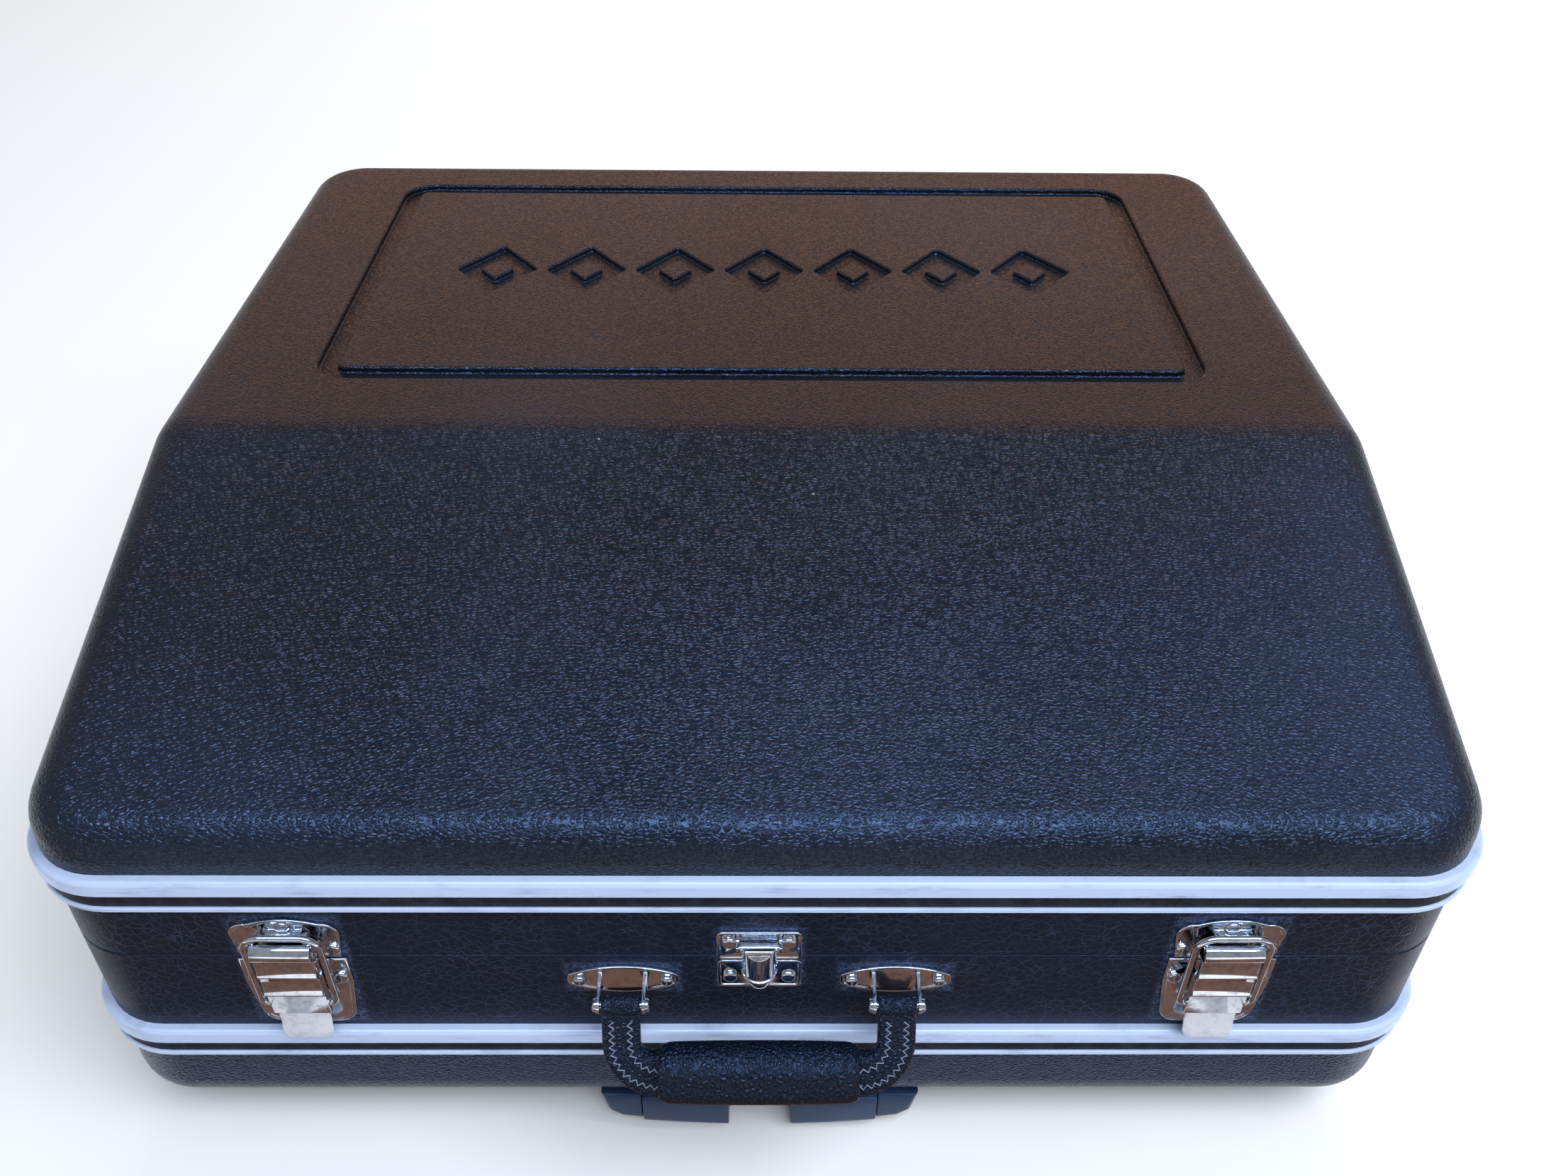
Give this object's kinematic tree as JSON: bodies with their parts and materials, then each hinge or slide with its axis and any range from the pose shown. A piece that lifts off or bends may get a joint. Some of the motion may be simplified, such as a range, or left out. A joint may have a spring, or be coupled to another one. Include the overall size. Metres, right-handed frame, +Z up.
{
  "type": "accordion carrying case",
  "caption": "Hard-shell carrying case for a large accordion: hinged lid, draw latches, centre lock, carrying handle, pull handle and wheels.",
  "frame": {"origin": "middle of the whole case's underside, on the surface that it lies on", "axes": "+Z up, +X to the right when facing the handle, the handle side faces -Y"},
  "size_m": [0.6092, 0.5978, 0.2684],
  "materials": {
    "shell_plastic": "vacuum-formed ABS with a pebbled leather grain, satin",
    "frame_board": "birch plywood, hidden under the covering",
    "leathercloth": "black vinyl leathercloth with fine creases",
    "moulding_plastic": "pale satin extruded plastic",
    "moulding_insert": "dark ribbed plastic insert",
    "chrome_steel": "bright chrome plating on pressed steel",
    "rivet_steel": "nickel-plated rivets and screws",
    "pin_steel": "drawn steel",
    "hinge_steel": "nickel plating on pressed steel",
    "aluminium": "satin anodised tube and strip",
    "plush": "dark red plush over foam",
    "handle_plastic": "smooth moulded polypropylene",
    "button_plastic": "dark grey moulded plastic",
    "wheel_rubber": "black thermoplastic rubber"
  },
  "bodies": {
    "base": {"base_shell": "shell_plastic", "base_lining": "plush", "support_pads": "plush", "lower_frame": "frame_board", "lower_frame_cover": "leathercloth", "alignment_strip": "aluminium", "lower_trim": "moulding_plastic", "lower_trim_insert": "moulding_insert", "left_latch_plate": "chrome_steel", "right_latch_plate": "chrome_steel", "latch_pins": "pin_steel", "lock_base_plate": "chrome_steel", "base_rivets": "rivet_steel", "left_handle_bracket": "chrome_steel", "right_handle_bracket": "chrome_steel", "bracket_screws": "rivet_steel", "handle_pins": "pin_steel", "hinge_lower_leaves": "hinge_steel", "hinge_pins": "pin_steel", "hinge_lower_rivets": "rivet_steel", "pull_housing": "handle_plastic", "pull_outer_tubes": "aluminium", "tube_clamp": "handle_plastic", "housing_screws": "rivet_steel", "left_wheel_housing": "handle_plastic", "right_wheel_housing": "handle_plastic", "wheel_axles": "pin_steel", "wheel_housing_screws": "rivet_steel"},
    "lid": {"lid_shell": "shell_plastic", "lid_lining": "plush", "upper_frame": "frame_board", "upper_frame_cover": "leathercloth", "upper_trim": "moulding_plastic", "upper_trim_insert": "moulding_insert", "left_latch_catch": "chrome_steel", "right_latch_catch": "chrome_steel", "lock_lid_plate": "chrome_steel", "lid_rivets": "rivet_steel", "lock_tongue_pin": "pin_steel", "hinge_upper_leaves": "hinge_steel", "hinge_upper_rivets": "rivet_steel"},
    "handle": {"handle_left_strap": "leathercloth", "handle_right_strap": "leathercloth", "handle_grip": "leathercloth"},
    "left_lever": {"left_latch_lever": "chrome_steel", "left_latch_tab": "chrome_steel"},
    "left_loop": {"left_latch_loop": "chrome_steel"},
    "right_lever": {"right_latch_lever": "chrome_steel", "right_latch_tab": "chrome_steel"},
    "right_loop": {"right_latch_loop": "chrome_steel"},
    "tongue": {"lock_tongue": "chrome_steel"},
    "pull_handle": {"pull_grip": "handle_plastic", "pull_inner_tubes": "aluminium"},
    "button": {"release_button": "button_plastic"},
    "left_wheel": {"left_wheel_tyre": "wheel_rubber", "left_wheel_hub": "handle_plastic"},
    "right_wheel": {"right_wheel_tyre": "wheel_rubber", "right_wheel_hub": "handle_plastic"}
  },
  "joints": [
    {"name": "lid_hinge", "type": "hinge", "parent": "base", "child": "lid", "pos_m": [0, 0.29554, 0.1378], "axis": [-1, 0, 0], "range_deg": [0, 105]},
    {"name": "handle_swing", "type": "hinge", "parent": "base", "child": "handle", "pos_m": [0, -0.27376, 0.1216], "axis": [-1, 0, 0], "range_deg": [-14, 110]},
    {"name": "left_lever_lift", "type": "hinge", "parent": "base", "child": "left_lever", "pos_m": [-0.198, -0.26736, 0.1496], "axis": [-1, 0, 0], "range_deg": [0, 110]},
    {"name": "left_loop_swing", "type": "hinge", "parent": "left_lever", "child": "left_loop", "pos_m": [-0.198, -0.26636, 0.113], "axis": [-1, 0, 0], "range_deg": [-110, 0]},
    {"name": "right_lever_lift", "type": "hinge", "parent": "base", "child": "right_lever", "pos_m": [0.198, -0.26736, 0.1496], "axis": [-1, 0, 0], "range_deg": [0, 110]},
    {"name": "right_loop_swing", "type": "hinge", "parent": "right_lever", "child": "right_loop", "pos_m": [0.198, -0.26636, 0.113], "axis": [-1, 0, 0], "range_deg": [-110, 0]},
    {"name": "tongue_lift", "type": "hinge", "parent": "lid", "child": "tongue", "pos_m": [0, -0.26386, 0.1478], "axis": [-1, 0, 0], "range_deg": [0, 95]},
    {"name": "pull_handle_slide", "type": "slide", "parent": "base", "child": "pull_handle", "axis": [0, -1, 0], "range_m": [0, 0.38]},
    {"name": "button_press", "type": "slide", "parent": "pull_handle", "child": "button", "axis": [0, 1, 0], "range_m": [0, 0.0025], "stiffness_N_per_m": 300},
    {"name": "left_wheel_spin", "type": "hinge", "parent": "base", "child": "left_wheel", "pos_m": [-0.19, 0.27184, 0.023], "axis": [1, 0, 0], "continuous": true},
    {"name": "right_wheel_spin", "type": "hinge", "parent": "base", "child": "right_wheel", "pos_m": [0.19, 0.27184, 0.023], "axis": [1, 0, 0], "continuous": true}
  ],
  "couplings": [
    {"joint": "left_loop_swing", "follows": "left_lever_lift", "ratio": -1},
    {"joint": "right_loop_swing", "follows": "right_lever_lift", "ratio": -1}
  ]
}
